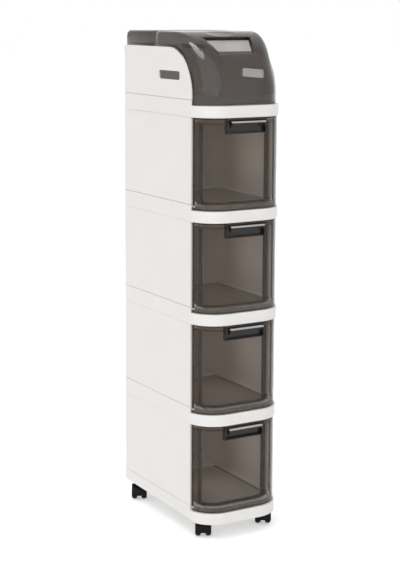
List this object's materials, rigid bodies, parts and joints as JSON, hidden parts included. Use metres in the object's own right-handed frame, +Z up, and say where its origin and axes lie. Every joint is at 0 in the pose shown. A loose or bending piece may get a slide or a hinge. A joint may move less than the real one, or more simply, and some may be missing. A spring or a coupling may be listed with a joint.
{
  "type": "bathroom storage tower",
  "caption": "Slim bathroom storage tower on swivel casters: smoky drawers with curved fronts stacked in white frames, below a top box with a flip-up smoky cover and hand slots.",
  "frame": {"origin": "on the floor, below the middle of the outline", "axes": "+Z up, front towards -Y, X across the width"},
  "size_m": [0.22, 0.3744, 1.1225],
  "materials": {
    "white_plastic": "satin white",
    "smoke_plastic": "smoky brown, half see-through, glossy",
    "dark_plastic": "near-black brown",
    "black_plastic": "black",
    "steel": "bare"
  },
  "bodies": {
    "cabinet": {"base_frame": "white_plastic", "shelf_frame_2": "white_plastic", "shelf_frame_3": "white_plastic", "shelf_frame_4": "white_plastic", "top_tray": "white_plastic", "left_panel_1": "white_plastic", "left_panel_2": "white_plastic", "left_panel_3": "white_plastic", "left_panel_4": "white_plastic", "right_panel_1": "white_plastic", "right_panel_2": "white_plastic", "right_panel_3": "white_plastic", "right_panel_4": "white_plastic", "back_panel_1": "white_plastic", "back_panel_2": "white_plastic", "back_panel_3": "white_plastic", "back_panel_4": "white_plastic", "top_left_panel": "white_plastic", "top_right_panel": "white_plastic", "top_back_panel": "white_plastic", "rear_lid": "smoke_plastic", "hinge_pin": "steel", "caster_sockets": "dark_plastic"},
    "cover": {"flip_cover": "smoke_plastic"},
    "drawer_1": {"drawer_bin_1": "smoke_plastic", "drawer_front_1": "smoke_plastic", "drawer_pull_1": "dark_plastic"},
    "drawer_2": {"drawer_bin_2": "smoke_plastic", "drawer_front_2": "smoke_plastic", "drawer_pull_2": "dark_plastic"},
    "drawer_3": {"drawer_bin_3": "smoke_plastic", "drawer_front_3": "smoke_plastic", "drawer_pull_3": "dark_plastic"},
    "drawer_4": {"drawer_bin_4": "smoke_plastic", "drawer_front_4": "smoke_plastic", "drawer_pull_4": "dark_plastic"},
    "caster_1": {"caster_stem_1": "steel", "caster_hood_1": "black_plastic"},
    "caster_2": {"caster_stem_2": "steel", "caster_hood_2": "black_plastic"},
    "caster_3": {"caster_stem_3": "steel", "caster_hood_3": "black_plastic"},
    "caster_4": {"caster_stem_4": "steel", "caster_hood_4": "black_plastic"},
    "wheels_1": {"caster_axle_1": "steel", "caster_wheels_1": "black_plastic"},
    "wheels_2": {"caster_axle_2": "steel", "caster_wheels_2": "black_plastic"},
    "wheels_3": {"caster_axle_3": "steel", "caster_wheels_3": "black_plastic"},
    "wheels_4": {"caster_axle_4": "steel", "caster_wheels_4": "black_plastic"}
  },
  "joints": [
    {"name": "drawer_1_slide", "type": "slide", "parent": "cabinet", "child": "drawer_1", "axis": [0, -1, 0], "range_m": [0, 0.22]},
    {"name": "drawer_2_slide", "type": "slide", "parent": "cabinet", "child": "drawer_2", "axis": [0, -1, 0], "range_m": [0, 0.22]},
    {"name": "drawer_3_slide", "type": "slide", "parent": "cabinet", "child": "drawer_3", "axis": [0, -1, 0], "range_m": [0, 0.22]},
    {"name": "drawer_4_slide", "type": "slide", "parent": "cabinet", "child": "drawer_4", "axis": [0, -1, 0], "range_m": [0, 0.22]},
    {"name": "cover_hinge", "type": "hinge", "parent": "cabinet", "child": "cover", "pos_m": [0, 0.03815, 1.1189], "axis": [-1, 0, 0], "range_deg": [0, 110]},
    {"name": "caster_1_swivel", "type": "hinge", "parent": "cabinet", "child": "caster_1", "pos_m": [-0.08, -0.13485, 0.038], "axis": [0, 0, 1], "continuous": true},
    {"name": "caster_2_swivel", "type": "hinge", "parent": "cabinet", "child": "caster_2", "pos_m": [0.08, -0.13485, 0.038], "axis": [0, 0, 1], "continuous": true},
    {"name": "caster_3_swivel", "type": "hinge", "parent": "cabinet", "child": "caster_3", "pos_m": [-0.08, 0.16715, 0.038], "axis": [0, 0, 1], "continuous": true},
    {"name": "caster_4_swivel", "type": "hinge", "parent": "cabinet", "child": "caster_4", "pos_m": [0.08, 0.16715, 0.038], "axis": [0, 0, 1], "continuous": true},
    {"name": "wheels_1_spin", "type": "hinge", "parent": "caster_1", "child": "wheels_1", "pos_m": [-0.0755, -0.12706, 0.017], "axis": [0.866, -0.5, 0], "continuous": true},
    {"name": "wheels_2_spin", "type": "hinge", "parent": "caster_2", "child": "wheels_2", "pos_m": [0.0845, -0.12706, 0.017], "axis": [0.866, -0.5, 0], "continuous": true},
    {"name": "wheels_3_spin", "type": "hinge", "parent": "caster_3", "child": "wheels_3", "pos_m": [-0.0845, 0.15936, 0.017], "axis": [-0.866, 0.5, 0], "continuous": true},
    {"name": "wheels_4_spin", "type": "hinge", "parent": "caster_4", "child": "wheels_4", "pos_m": [0.0755, 0.15936, 0.017], "axis": [-0.866, 0.5, 0], "continuous": true}
  ]
}
